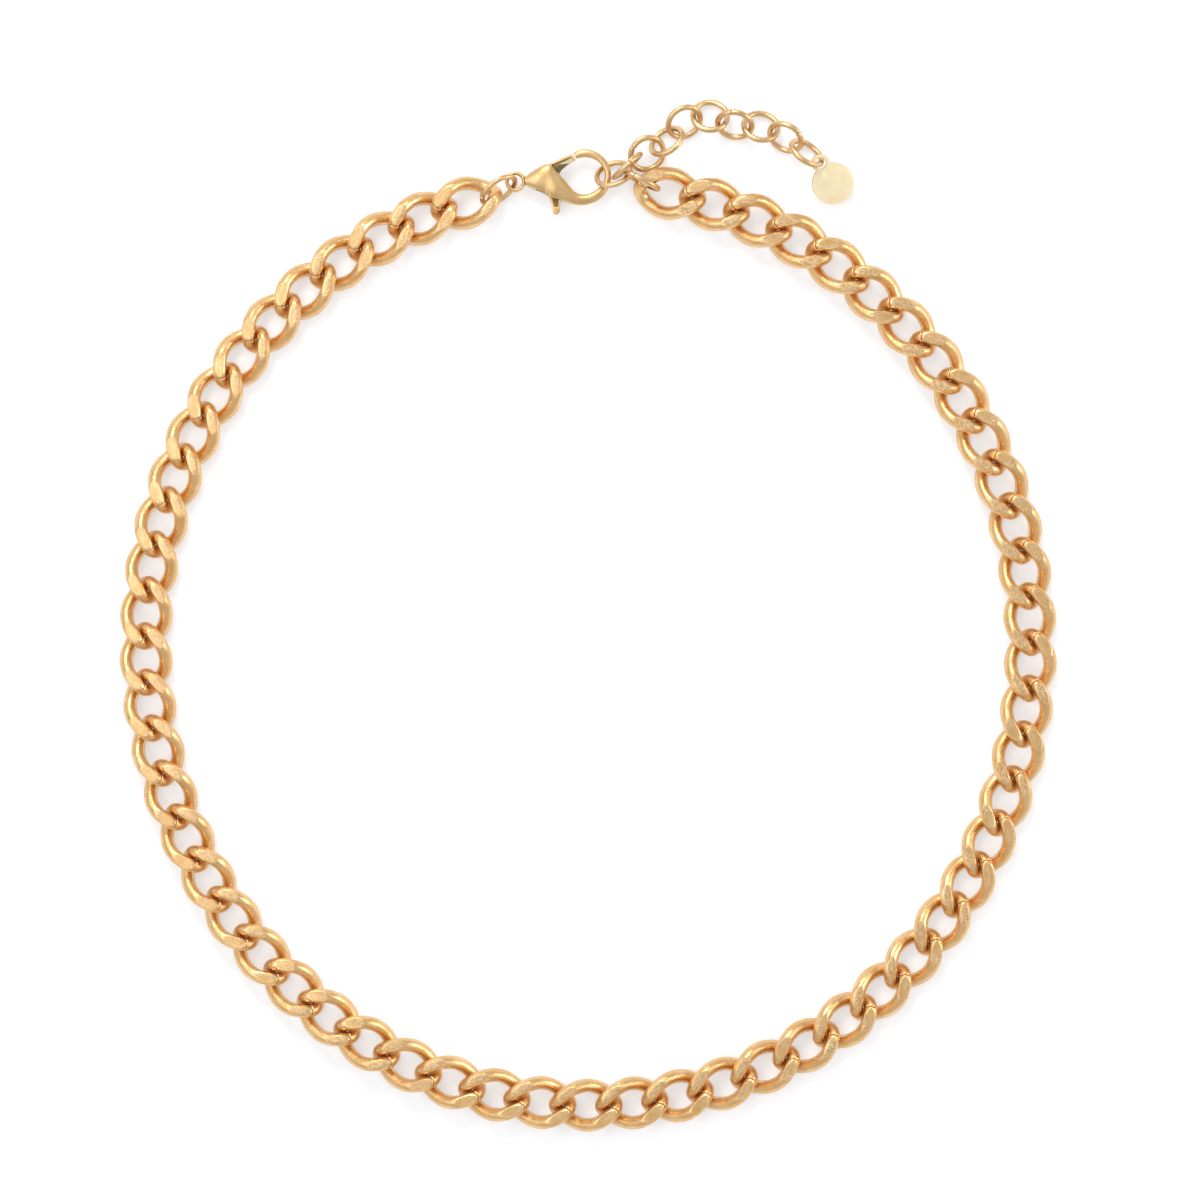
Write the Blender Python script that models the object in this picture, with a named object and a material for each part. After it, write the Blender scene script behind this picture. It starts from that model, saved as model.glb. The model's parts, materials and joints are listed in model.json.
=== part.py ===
"""Curb chain necklace with a lobster clasp, an extender chain and a round end tag.

The necklace lies closed on a flat surface at z = 0, seen from above: +Y points through the
clasp, and the chain runs clockwise from the clasp's hook side round to its eyelet side.
"""

import math

import bmesh
import bpy
import numpy as np
from mathutils import Matrix, Vector

MM = 0.001

# Points closer together than this are one point
WELD_REACH = 0.001 * MM

# Chain lay: the pivots between links stand on an oval
LAY_HALF_WIDTH = 63.05 * MM
LAY_HALF_DEPTH = 65.55 * MM

# The origin lies under the middle of the whole outline, in front of the lay's own centre
LAY_CENTRE_Y = -3.87 * MM

# Curb links: an oval of round wire, twisted about its long axis and ground flat on both faces
LINK_COUNT = 58
LINK_PITCH = 6.574 * MM
LINK_WIRE = 2.0 * MM
LINK_GAP = 0.14 * MM
LINK_OUTER_WIDTH = 7.6 * MM
LINK_TWIST = math.radians(52)
CHAIN_THICKNESS = 3.8 * MM
LINK_POINTS = 14
FRONT_LINK = 29
BEAD_RADIUS = 0.6 * MM
# Links that move as one solid with the link after them
PAIR_STARTS = (2, 6, 10, 14, 18, 22, 26, 31, 35, 39, 43, 47, 51, 54, 56)

# Jump rings of the closure: where each stands, the heading of its long axis and its tilt
CLOSURE_WIRE = 0.78 * MM
CLASP_RING_PLACE = Vector((-9.83, 65.25)) * MM
CLASP_RING_HEADING = 33
CLASP_RING_TILT = 59
CLASP_RING_RADII = (2.75 * MM, 2.07 * MM)
HOOK_RING_PLACE = Vector((6.6, 66.8)) * MM
HOOK_RING_HEADING = 18.5
HOOK_RING_TILT = -47
HOOK_RING_PIVOT = Vector((8.3, 66.9)) * MM
CHAIN_RING_PLACE = Vector((10.4, 65.72)) * MM
CHAIN_RING_HEADING = -29.4
CHAIN_RING_TILT = -89
CHAIN_RING_RADII = (2.78 * MM, 2.39 * MM)

# Extender chain: equal jump rings, each leaning the other way from the one before
EXTENDER_WIRE = 0.86 * MM
EXTENDER_RADIUS = 2.45 * MM
EXTENDER_START = Vector((8.62, 67.79)) * MM
EXTENDER_HEADINGS = (31, 29, 45, 11, -23, -6, -27, -39)
FIRST_RING_TURN = 48
EXTENDER_STEPS = (3.4, 3.25, 3.72, 3.8, 3.7, 3.76, 3.85, 3.7)
EXTENDER_TILTS = (-89, 34, -50, 44, -30, 52, -34, 54, -56)
RING_POINTS = 14

# Clasp: a cast hook with an eyelet, a sprung lever gate and its pin
CLASP_Z = 1.75 * MM
CLASP_HALF_THICKNESS = 1.7 * MM
EYELET_CENTRE = Vector((-7.3, 66.4)) * MM
EYELET_RADIUS = 1.2 * MM
EYELET_WIRE = 0.72 * MM
CLASP_PIVOT = Vector((-8.0, 66.35)) * MM
PIN_PLACE = Vector((-2.6, 66.0)) * MM
PIN_RADIUS = 0.4 * MM
PIN_LENGTH = 3.06 * MM
BORE_RADIUS = 0.45 * MM
SLOT_PLACE = Vector((-2.45, 66.0)) * MM
SLOT_LENGTH = 4.1 * MM
SLOT_DEPTH = 9 * MM
SLOT_THICKNESS = 1.3 * MM
LEVER_THICKNESS = 0.9 * MM
SPRING_WIRE = 0.24 * MM
SPRING_FOOT = Vector((-4.32, 64.95)) * MM
SPRING_LENGTH = 2.4 * MM
SPRING_BOW = 0.16 * MM
SPRING_POINTS = 9
PIN_SIDES = 12

# End tag: a round disc with a pierced ear
TAG_RADIUS = 2.98 * MM
TAG_THICKNESS = 0.5 * MM
TAG_EAR_RADIUS = 1.3 * MM
TAG_HOLE_RADIUS = 0.82 * MM
TAG_REACH = 3.4 * MM
TAG_HEADING = -60
TAG_SLOPE = -14

LINK_HALF_LENGTH = (LINK_PITCH + LINK_WIRE + LINK_GAP) / 2
LINK_HALF_WIDTH = (LINK_OUTER_WIDTH - LINK_WIRE) / 2

# Edges of less than this angle are shaded smooth
SMOOTH_ANGLE = math.radians(50)

GOLD = (0.83, 0.56, 0.27, 1.0)
CLASP_GOLD = (0.76, 0.54, 0.26, 1.0)
TAG_GOLD = (0.90, 0.72, 0.45, 1.0)
STEEL = (0.55, 0.54, 0.52, 1.0)


def new_collection(name):
    """A collection linked to the scene."""
    group = bpy.data.collections.new(name)
    bpy.context.scene.collection.children.link(group)
    return group


def metal(name, colour, roughness):
    """A metal finish with one colour and roughness."""
    material = bpy.data.materials.new(name)
    material.use_nodes = True
    shader = material.node_tree.nodes["Principled BSDF"]
    shader.inputs["Base Color"].default_value = colour
    shader.inputs["Metallic"].default_value = 1.0
    shader.inputs["Roughness"].default_value = roughness
    return material


def add_object(name, mesh, group, place=None):
    """An object of a mesh, in a collection, at a place in the world."""
    item = bpy.data.objects.new(name, mesh)
    group.objects.link(item)
    if place is not None:
        item.matrix_world = place
    return item


def add_cutter(name, mesh, place=None):
    """A guide or cutter, which is not a piece of the necklace."""
    item = add_object(name, mesh, CUTTERS, place)
    item.hide_render = True
    item.display_type = "WIRE"
    return item


def add_boolean(target, tool, operation):
    """Join a piece with a cutter, or cut it, with the exact solver."""
    step = target.modifiers.new(tool.name, "BOOLEAN")
    step.operation = operation
    step.solver = "EXACT"
    step.object = tool


def hang_on_pivot(item, pivot):
    """Parent a moving piece to an empty that stands on its joint's axis."""
    empty = bpy.data.objects.new("pivot_" + item.name, None)
    NECKLACE.objects.link(empty)
    empty.empty_display_size = 2 * MM
    empty.location = pivot
    item.parent = empty
    item.matrix_parent_inverse = Matrix.Translation(pivot).inverted()


def finish(item, material):
    """Give a piece its material, and smooth shading between its sharp edges."""
    item.data.materials.clear()
    item.data.materials.append(material)
    item.data.shade_smooth()
    item.data.set_sharp_from_angle(angle=SMOOTH_ANGLE)


def wire_mesh(name, points, thickness, radii=None, closed=True, sides_level=1):
    """A mesh of round wire along points; sides_level 1 gives six sides."""
    curve = bpy.data.curves.new(name, "CURVE")
    curve.dimensions = "3D"
    curve.bevel_depth = thickness / 2
    curve.bevel_resolution = sides_level
    curve.use_fill_caps = True
    spline = curve.splines.new("POLY")
    spline.points.add(len(points) - 1)
    spline.use_cyclic_u = closed
    for i, point in enumerate(points):
        spline.points[i].co = (*point, 1.0)
        spline.points[i].radius = radii[i] if radii else 1.0
    guide = bpy.data.objects.new(name, curve)
    CUTTERS.objects.link(guide)
    evaluated = guide.evaluated_get(bpy.context.evaluated_depsgraph_get())
    mesh = bpy.data.meshes.new_from_object(evaluated)
    bpy.data.objects.remove(guide)
    bpy.data.curves.remove(curve)
    shape = bmesh.new()
    shape.from_mesh(mesh)
    bmesh.ops.remove_doubles(shape, verts=shape.verts, dist=WELD_REACH)
    bmesh.ops.recalc_face_normals(shape, faces=shape.faces)
    shape.to_mesh(mesh)
    shape.free()
    return mesh


def grind_flat(mesh, height, side):
    """Cut a mesh at a level and close the cut with flat faces; side is 1 for the top."""
    shape = bmesh.new()
    shape.from_mesh(mesh)
    everything = shape.verts[:] + shape.edges[:] + shape.faces[:]
    bmesh.ops.bisect_plane(
        shape,
        geom=everything,
        dist=WELD_REACH / 2,
        plane_co=(0, 0, side * height),
        plane_no=(0, 0, side),
        clear_outer=True,
    )
    rims = [edge for edge in shape.edges if edge.is_boundary]
    bmesh.ops.holes_fill(shape, edges=rims, sides=0)
    bmesh.ops.recalc_face_normals(shape, faces=shape.faces)
    shape.to_mesh(mesh)
    shape.free()


# The chain


def lay_point(turn):
    """A point of the lay oval, at a parameter angle."""
    return np.array([LAY_HALF_WIDTH * math.cos(turn), LAY_HALF_DEPTH * math.sin(turn)])


def lay_pivots():
    """The pivots between the links, clockwise at equal steps, with the front one at -Y."""
    turns = np.linspace(-math.pi / 2, math.pi / 2, 4001)
    points = np.array([lay_point(turn) for turn in turns])
    steps = np.hypot(*np.diff(points, axis=0).T)
    along = np.concatenate([[0], np.cumsum(steps)])
    half = LINK_COUNT // 2
    wanted = np.interp(np.arange(half + 1) * LINK_PITCH, along, turns)
    right = [lay_point(turn) for turn in wanted]
    left = [np.array([-point[0], point[1]]) for point in right]
    ordered = right[::-1] + left[1:]
    return [Vector((x, y, CHAIN_THICKNESS / 2)) for x, y in ordered]


def link_mesh():
    """One curb link, centred, with its long axis on X and its travel towards +X."""
    points = []
    for i in range(LINK_POINTS):
        turn = 2 * math.pi * (i + 0.5) / LINK_POINTS
        lean = LINK_TWIST * math.cos(turn)
        across = LINK_HALF_WIDTH * math.sin(turn)
        along = LINK_HALF_LENGTH * math.cos(turn) / math.cos(math.pi / LINK_POINTS)
        points.append((along, across * math.cos(lean), -across * math.sin(lean)))
    mesh = wire_mesh("curb_link", points, LINK_WIRE)
    grind_flat(mesh, CHAIN_THICKNESS / 2, 1)
    grind_flat(mesh, CHAIN_THICKNESS / 2, -1)
    return mesh


def link_place(pivots, index):
    """Where link number index stands: between two pivots, long axis along the chain."""
    start, end = pivots[index], pivots[index + 1]
    ahead = (end - start).normalized()
    left = Vector((0, 0, 1)).cross(ahead)
    turn = Matrix((ahead, left, Vector((0, 0, 1)))).transposed()
    return Matrix.Translation((start + end) / 2) @ turn.to_4x4()


def bead_mesh():
    """The small ball that joins the two links of a pair inside their crossing."""
    mesh = bpy.data.meshes.new("bead")
    shape = bmesh.new()
    bmesh.ops.create_uvsphere(shape, u_segments=8, v_segments=5, radius=BEAD_RADIUS)
    shape.to_mesh(mesh)
    shape.free()
    return mesh


def add_chain(pivots):
    """All links, numbered from the hook side; a pair is one solid under both numbers."""
    shared = link_mesh()
    bead = bead_mesh()
    index = 0
    while index < LINK_COUNT:
        paired = index in PAIR_STARTS
        last = index + 1 if paired else index
        name = f"link_{index + 1:02d}"
        if paired:
            name += f"_{last + 1:02d}"
        place = link_place(pivots, index)
        mesh = shared.copy() if paired else shared
        item = add_object(name, mesh, NECKLACE, place)
        finish(item, LINK_METAL)
        if paired:
            second = add_cutter(f"join_{last + 1:02d}", shared, link_place(pivots, last))
            ball_place = Matrix.Translation(pivots[last])
            ball = add_cutter(f"bead_{last + 1:02d}", bead, ball_place)
            add_boolean(item, ball, "UNION")
            add_boolean(item, second, "UNION")
        if index > FRONT_LINK:
            hang_on_pivot(item, pivots[index])
        elif index < FRONT_LINK:
            hang_on_pivot(item, pivots[last + 1])
        index = last + 1


# Rings


def ring_axes(heading, tilt):
    """The long and short axes of a ring that leans about its long axis."""
    turn, lean = math.radians(heading), math.radians(tilt)
    long_axis = Vector((math.cos(turn), math.sin(turn), 0))
    flat_axis = Vector((-math.sin(turn), math.cos(turn), 0))
    return long_axis, flat_axis * math.cos(lean) + Vector((0, 0, 1)) * math.sin(lean)


def ring_centre(place, half_short, wire, tilt):
    """The centre of a leaning ring whose lowest point rests on z = 0."""
    height = half_short * abs(math.sin(math.radians(tilt))) + wire / 2
    return Vector((place[0], place[1], height))


def add_ring(name, place, heading, tilt, half_long, half_short, wire, pivot):
    """A jump ring, round or oval, resting on one edge."""
    centre = ring_centre(place, half_short, wire, tilt)
    long_axis, short_axis = ring_axes(heading, tilt)
    points = []
    for i in range(RING_POINTS):
        turn = 2 * math.pi * i / RING_POINTS
        reach = long_axis * half_long * math.cos(turn)
        points.append(centre + reach + short_axis * half_short * math.sin(turn))
    mesh = wire_mesh(name, points, wire)
    item = add_object(name, mesh, NECKLACE)
    finish(item, LINK_METAL)
    hang_on_pivot(item, pivot)
    return centre


def add_closure_rings(pivots):
    """The rings that tie the clasp to the chain's first end, and its last end to the hook."""
    add_ring(
        "clasp_ring",
        CLASP_RING_PLACE,
        CLASP_RING_HEADING,
        CLASP_RING_TILT,
        *CLASP_RING_RADII,
        CLOSURE_WIRE,
        pivots[LINK_COUNT],
    )
    add_ring(
        "hook_ring",
        HOOK_RING_PLACE,
        HOOK_RING_HEADING,
        HOOK_RING_TILT,
        EXTENDER_RADIUS,
        EXTENDER_RADIUS,
        CLOSURE_WIRE,
        HOOK_RING_PIVOT.to_3d() + Vector((0, 0, CHAIN_THICKNESS / 2)),
    )
    add_ring(
        "chain_ring",
        CHAIN_RING_PLACE,
        CHAIN_RING_HEADING,
        CHAIN_RING_TILT,
        *CHAIN_RING_RADII,
        EXTENDER_WIRE,
        pivots[0],
    )


def extender_places():
    """Where the extender's ring centres stand, and each ring's heading."""
    places = [EXTENDER_START.copy()]
    for heading, step in zip(EXTENDER_HEADINGS, EXTENDER_STEPS):
        turn = math.radians(heading)
        ahead = Vector((math.cos(turn), math.sin(turn)))
        places.append(places[-1] + ahead * step * MM)
    ends = (FIRST_RING_TURN, *EXTENDER_HEADINGS, EXTENDER_HEADINGS[-1])
    headings = [(before + after) / 2 for before, after in zip(ends, ends[1:])]
    return places, headings


def add_extender():
    """The extender's rings, each pivoting where it hangs in the ring before it."""
    places, headings = extender_places()
    before = HOOK_RING_PLACE
    for i, place in enumerate(places):
        middle = (before + place) / 2
        pivot = Vector((middle.x, middle.y, CHAIN_THICKNESS / 2))
        centre = add_ring(
            f"extender_ring_{i + 1}",
            place,
            headings[i],
            EXTENDER_TILTS[i],
            EXTENDER_RADIUS,
            EXTENDER_RADIUS,
            EXTENDER_WIRE,
            pivot,
        )
        before = place
    long_axis, _ = ring_axes(headings[-1], EXTENDER_TILTS[-1])
    return centre + long_axis * EXTENDER_RADIUS


# The tag


def disc_mesh(name, radius, depth, segments):
    """A closed disc or pin, centred, along Z."""
    mesh = bpy.data.meshes.new(name)
    shape = bmesh.new()
    bmesh.ops.create_cone(
        shape,
        cap_ends=True,
        segments=segments,
        radius1=radius,
        radius2=radius,
        depth=depth,
    )
    shape.to_mesh(mesh)
    shape.free()
    return mesh


def add_tag(hang_point):
    """The round end tag, hung by its ear and sloping down to the surface."""
    turn = Matrix.Rotation(math.radians(TAG_HEADING), 4, "Z")
    slope = Matrix.Rotation(math.radians(-TAG_SLOPE), 4, "Y")
    place = Matrix.Translation(hang_point) @ turn @ slope
    reach = Matrix.Translation((TAG_REACH, 0, 0))
    disc = disc_mesh("end_tag", TAG_RADIUS, TAG_THICKNESS, 32)
    tag = add_object("end_tag", disc, NECKLACE, place @ reach)
    ear = disc_mesh("ear", TAG_EAR_RADIUS, TAG_THICKNESS, 20)
    hole = disc_mesh("ear_hole", TAG_HOLE_RADIUS, 4 * TAG_THICKNESS, 16)
    add_boolean(tag, add_cutter("ear", ear, place), "UNION")
    add_boolean(tag, add_cutter("ear_hole", hole, place), "DIFFERENCE")
    finish(tag, TAG_METAL)
    hang_on_pivot(tag, hang_point)


# The clasp


def clasp_spine():
    """The centre line of the cast body and hook, with the half-width at each point."""
    stations = (
        (-6.05, 66.35, 0.85),
        (-5.0, 66.3, 1.35),
        (-3.9, 66.15, 1.95),
        (-2.9, 65.95, 2.3),
        (-2.1, 65.6, 2.2),
        (-1.2, 64.95, 1.75),
        (-0.3, 64.3, 1.3),
        (0.8, 63.65, 0.95),
        (2.0, 63.3, 0.78),
        (3.4, 63.45, 0.7),
        (4.6, 64.25, 0.64),
        (5.45, 65.5, 0.6),
        (5.65, 66.8, 0.6),
        (5.2, 68.2, 0.62),
        (4.3, 69.2, 0.64),
        (3.2, 69.75, 0.66),
        (1.75, 69.9, 0.64),
    )
    points = [Vector((x * MM, y * MM, CLASP_Z)) for x, y, _ in stations]
    return points, [half for _, _, half in stations]


def add_clasp_body():
    """The cast body: a tapering hook, its eyelet, and the slot that holds the lever."""
    points, halves = clasp_spine()
    mesh = wire_mesh("clasp_body", points, 2 * MM, halves, closed=False, sides_level=3)
    for vertex in mesh.vertices:
        rise = vertex.co.z - CLASP_Z
        limit = CLASP_HALF_THICKNESS
        vertex.co.z = CLASP_Z + limit * math.tanh(rise / limit)
    body = add_object("clasp_body", mesh, NECKLACE)
    rim = [
        EYELET_CENTRE.to_3d()
        + Vector((math.cos(turn), math.sin(turn), 0)) * EYELET_RADIUS
        + Vector((0, 0, CLASP_Z))
        for turn in (2 * math.pi * i / RING_POINTS for i in range(RING_POINTS))
    ]
    eyelet = add_cutter("eyelet", wire_mesh("eyelet", rim, EYELET_WIRE))
    slot = bpy.data.meshes.new("slot")
    shape = bmesh.new()
    bmesh.ops.create_cube(shape, size=1.0)
    size = (SLOT_LENGTH, SLOT_DEPTH, SLOT_THICKNESS)
    bmesh.ops.scale(shape, vec=size, verts=shape.verts)
    shape.to_mesh(slot)
    shape.free()
    slot_place = Matrix.Translation((*SLOT_PLACE, CLASP_Z))
    bore = disc_mesh("pin_bore", BORE_RADIUS, 2 * SLOT_LENGTH, PIN_SIDES)
    bore_place = Matrix.Translation((*PIN_PLACE, CLASP_Z))
    add_boolean(body, eyelet, "UNION")
    add_boolean(body, add_cutter("slot", slot, slot_place), "DIFFERENCE")
    add_boolean(body, add_cutter("pin_bore", bore, bore_place), "DIFFERENCE")
    finish(body, CLASP_METAL)
    hang_on_pivot(body, Vector((*CLASP_PIVOT, CLASP_Z)))


def add_clasp_lever():
    """The flat lever: gate arm towards the hook's nose, thumb tab below the body."""
    outline = (
        (-3.5, 66.3),
        (-3.1, 67.5),
        (-2.3, 68.55),
        (0.75, 70.05),
        (1.05, 69.95),
        (1.28, 69.3),
        (-0.2, 68.35),
        (-1.15, 67.3),
        (-1.5, 66.0),
        (-1.35, 63.4),
        (-1.35, 61.75),
        (-1.65, 61.5),
        (-2.1, 61.5),
        (-2.4, 61.75),
        (-2.9, 63.4),
        (-3.4, 65.2),
    )
    curve = bpy.data.curves.new("clasp_lever", "CURVE")
    curve.dimensions = "2D"
    curve.fill_mode = "BOTH"
    curve.extrude = LEVER_THICKNESS / 2
    spline = curve.splines.new("POLY")
    spline.points.add(len(outline) - 1)
    spline.use_cyclic_u = True
    for point, (x, y) in zip(spline.points, outline):
        point.co = (x * MM, y * MM, 0, 1)
    guide = bpy.data.objects.new("clasp_lever_outline", curve)
    CUTTERS.objects.link(guide)
    evaluated = guide.evaluated_get(bpy.context.evaluated_depsgraph_get())
    mesh = bpy.data.meshes.new_from_object(evaluated)
    bpy.data.objects.remove(guide)
    shape = bmesh.new()
    shape.from_mesh(mesh)
    bmesh.ops.remove_doubles(shape, verts=shape.verts, dist=WELD_REACH)
    shape.to_mesh(mesh)
    shape.free()
    place = Matrix.Translation((0, 0, CLASP_Z))
    lever = add_object("clasp_lever", mesh, NECKLACE, place)
    bore = disc_mesh("lever_bore", BORE_RADIUS, SLOT_LENGTH, PIN_SIDES)
    bore_place = Matrix.Translation((*PIN_PLACE, CLASP_Z))
    add_boolean(lever, add_cutter("lever_bore", bore, bore_place), "DIFFERENCE")
    finish(lever, CLASP_METAL)
    hang_on_pivot(lever, Vector((*PIN_PLACE, CLASP_Z)))


def add_clasp_pin():
    """The rivet pin across the slot."""
    pin = disc_mesh("clasp_pin", PIN_RADIUS, PIN_LENGTH, PIN_SIDES)
    place = Matrix.Translation((*PIN_PLACE, CLASP_Z))
    finish(add_object("clasp_pin", pin, NECKLACE, place), CLASP_METAL)


def add_clasp_spring():
    """The bow spring behind the lever, inside the slot."""
    points = []
    for i in range(SPRING_POINTS):
        part = i / (SPRING_POINTS - 1)
        x = SPRING_FOOT.x + SPRING_BOW * math.sin(math.pi * part)
        points.append(Vector((x, SPRING_FOOT.y + SPRING_LENGTH * part, CLASP_Z)))
    mesh = wire_mesh("clasp_spring", points, SPRING_WIRE, closed=False)
    finish(add_object("clasp_spring", mesh, NECKLACE), SPRING_METAL)


def stand_in_frame():
    """Move every piece and cutter together, so that the origin is under the outline's middle."""
    frame = bpy.data.objects.new("necklace_frame", None)
    NECKLACE.objects.link(frame)
    frame.location = (0, LAY_CENTRE_Y, 0)
    for group in (NECKLACE, CUTTERS):
        for item in group.objects:
            if item.parent is None and item is not frame:
                item.parent = frame


for old in list(bpy.data.objects):
    bpy.data.objects.remove(old)

NECKLACE = new_collection("chain_necklace")
CUTTERS = new_collection("cutters")
LINK_METAL = metal("satin_gold", GOLD, 0.34)
CLASP_METAL = metal("clasp_gold", CLASP_GOLD, 0.36)
TAG_METAL = metal("tag_gold", TAG_GOLD, 0.3)
SPRING_METAL = metal("spring_steel", STEEL, 0.4)

chain_pivots = lay_pivots()
add_chain(chain_pivots)
add_closure_rings(chain_pivots)
add_tag(add_extender())
add_clasp_body()
add_clasp_lever()
add_clasp_pin()
add_clasp_spring()
stand_in_frame()
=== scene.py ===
"""Looks of the curb chain necklace: worn satin gold links, jump rings, lobster clasp and end tag."""

import json
import math

import bmesh
import bpy
import numpy as np
from mathutils import Matrix, Vector, noise

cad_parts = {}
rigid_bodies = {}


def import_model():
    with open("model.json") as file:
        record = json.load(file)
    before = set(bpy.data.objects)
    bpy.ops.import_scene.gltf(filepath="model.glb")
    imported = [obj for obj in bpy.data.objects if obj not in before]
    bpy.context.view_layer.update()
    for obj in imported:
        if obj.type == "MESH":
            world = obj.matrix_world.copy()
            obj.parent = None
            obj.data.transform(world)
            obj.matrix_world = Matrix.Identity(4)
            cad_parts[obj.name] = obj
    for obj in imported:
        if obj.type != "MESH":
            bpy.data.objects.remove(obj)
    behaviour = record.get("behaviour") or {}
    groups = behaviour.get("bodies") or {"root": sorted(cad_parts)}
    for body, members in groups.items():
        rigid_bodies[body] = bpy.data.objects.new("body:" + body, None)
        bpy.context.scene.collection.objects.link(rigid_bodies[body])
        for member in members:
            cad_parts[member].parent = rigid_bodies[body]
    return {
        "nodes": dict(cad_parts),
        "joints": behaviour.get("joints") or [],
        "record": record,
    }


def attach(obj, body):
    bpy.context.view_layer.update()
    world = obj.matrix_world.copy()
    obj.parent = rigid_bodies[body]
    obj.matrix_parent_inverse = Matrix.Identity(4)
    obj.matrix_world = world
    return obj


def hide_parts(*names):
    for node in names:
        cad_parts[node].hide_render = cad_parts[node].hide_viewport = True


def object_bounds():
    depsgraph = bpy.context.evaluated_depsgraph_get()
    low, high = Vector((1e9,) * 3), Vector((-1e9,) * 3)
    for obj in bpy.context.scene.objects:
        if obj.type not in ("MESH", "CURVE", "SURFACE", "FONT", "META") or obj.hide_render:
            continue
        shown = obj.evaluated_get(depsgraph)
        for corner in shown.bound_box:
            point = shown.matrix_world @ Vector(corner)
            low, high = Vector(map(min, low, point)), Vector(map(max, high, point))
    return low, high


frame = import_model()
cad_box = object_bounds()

MM = 0.001
UP = Vector((0, 0, 1))

# Curb links: an oval of wire, twisted about its long axis, butted at its leading end, ground flat
LINK_WIRE_RADIUS = 0.965 * MM
LINK_HALF_LENGTH = 4.357 * MM
LINK_HALF_WIDTH = 2.8 * MM
LINK_TWIST = math.radians(52)
LINK_FLAT_HEIGHT = 1.9 * MM
LINK_STATIONS = 88
LINK_VARIANTS = 6
SEAM_TURN = math.radians(157)
SEAM_HALF_GAP = math.radians(0.35)
SEAM_STEPS = (0.9, 2.2)
SEAM_SHARES = (0.93, 0.985, 1.0)
FLAT_EDGE = 0.045 * MM

# Jump rings: wire radius by kind
CLOSURE_WIRE_RADIUS = 0.38 * MM
EXTENDER_WIRE_RADIUS = 0.42 * MM
RING_STATIONS = 72
RING_SIDES = 16
RING_SEAM = 0.09 * MM


# Plating rubbed bright along edges by wear, and a painted edge highlight in the same colour
RUBBED_AND_HIGHLIGHT_GOLD = (1.0, 0.80, 0.50, 1.0)

# Clasp
CLASP_HALF_THICKNESS = 1.7
CLASP_SIDES = 44
CLASP_SLOT = 1.24 * MM


# Node trees


def put(tree, kind, inputs=None, **settings):
    """A shader node, with its settings and its inputs: a value, or a socket to link from."""
    item = tree.nodes.new(kind)
    for key, value in settings.items():
        setattr(item, key, value)
    for key, value in (inputs or {}).items():
        socket = item.inputs[key]
        if isinstance(value, bpy.types.NodeSocket):
            tree.links.new(value, socket)
        else:
            socket.default_value = value
    return item


def math_node(tree, operation, first, second=0.0):
    """The result of one arithmetic step."""
    step = put(tree, "ShaderNodeMath", {0: first, 1: second}, operation=operation)
    return step.outputs[0]


def remap(tree, value, low, high, to_low=0.0, to_high=1.0):
    """A value carried smoothly from one range to another, and held at its ends."""
    inputs = {"Value": value, "From Min": low, "From Max": high}
    inputs |= {"To Min": to_low, "To Max": to_high}
    step = put(tree, "ShaderNodeMapRange", inputs, interpolation_type="SMOOTHSTEP")
    return step.outputs["Result"]


def blend_colours(tree, share, first, second):
    """One colour turning into another; each is a colour or a socket."""
    step = put(tree, "ShaderNodeMix", data_type="RGBA")
    for socket, value in ((step.inputs[0], share), (step.inputs[6], first), (step.inputs[7], second)):
        if isinstance(value, bpy.types.NodeSocket):
            tree.links.new(value, socket)
        else:
            socket.default_value = value
    return step.outputs[2]


def clouds(tree, place, size, detail=3.0, roughness=0.55):
    """Soft noise with features of about one size, in metres."""
    inputs = {"Vector": place, "Scale": 1 / size, "Detail": detail, "Roughness": roughness}
    return put(tree, "ShaderNodeTexNoise", inputs).outputs["Fac"]


def piece_place(tree):
    """Object coordinates, shifted by a different amount on each piece."""
    coordinates = put(tree, "ShaderNodeTexCoord")
    info = put(tree, "ShaderNodeObjectInfo")
    shift = put(
        tree,
        "ShaderNodeVectorMath",
        {0: info.outputs["Object Index"], 1: (0.0137, 0.0071, 0.0213)},
        operation="MULTIPLY",
    )
    place = put(
        tree,
        "ShaderNodeVectorMath",
        {0: coordinates.outputs["Object"], 1: shift.outputs[0]},
        operation="ADD",
    )
    return coordinates, info, place.outputs[0]


def drawn_marks(tree, info):
    """Lengthwise drawing marks on wire, different on each piece."""
    lie = put(tree, "ShaderNodeAttribute", attribute_name="lie")
    shift = math_node(tree, "MULTIPLY", info.outputs["Object Index"], 3.7)
    away = put(tree, "ShaderNodeCombineXYZ", {0: shift, 1: shift, 2: 0.0})
    stretched = put(tree, "ShaderNodeMapping", {"Vector": lie.outputs["Vector"], "Scale": (300.0, 5.0, 5.0)})
    place = put(
        tree,
        "ShaderNodeVectorMath",
        {0: stretched.outputs[0], 1: away.outputs[0]},
        operation="ADD",
    )
    return clouds(tree, place.outputs[0], 1.0, 4, 0.6)


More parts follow.
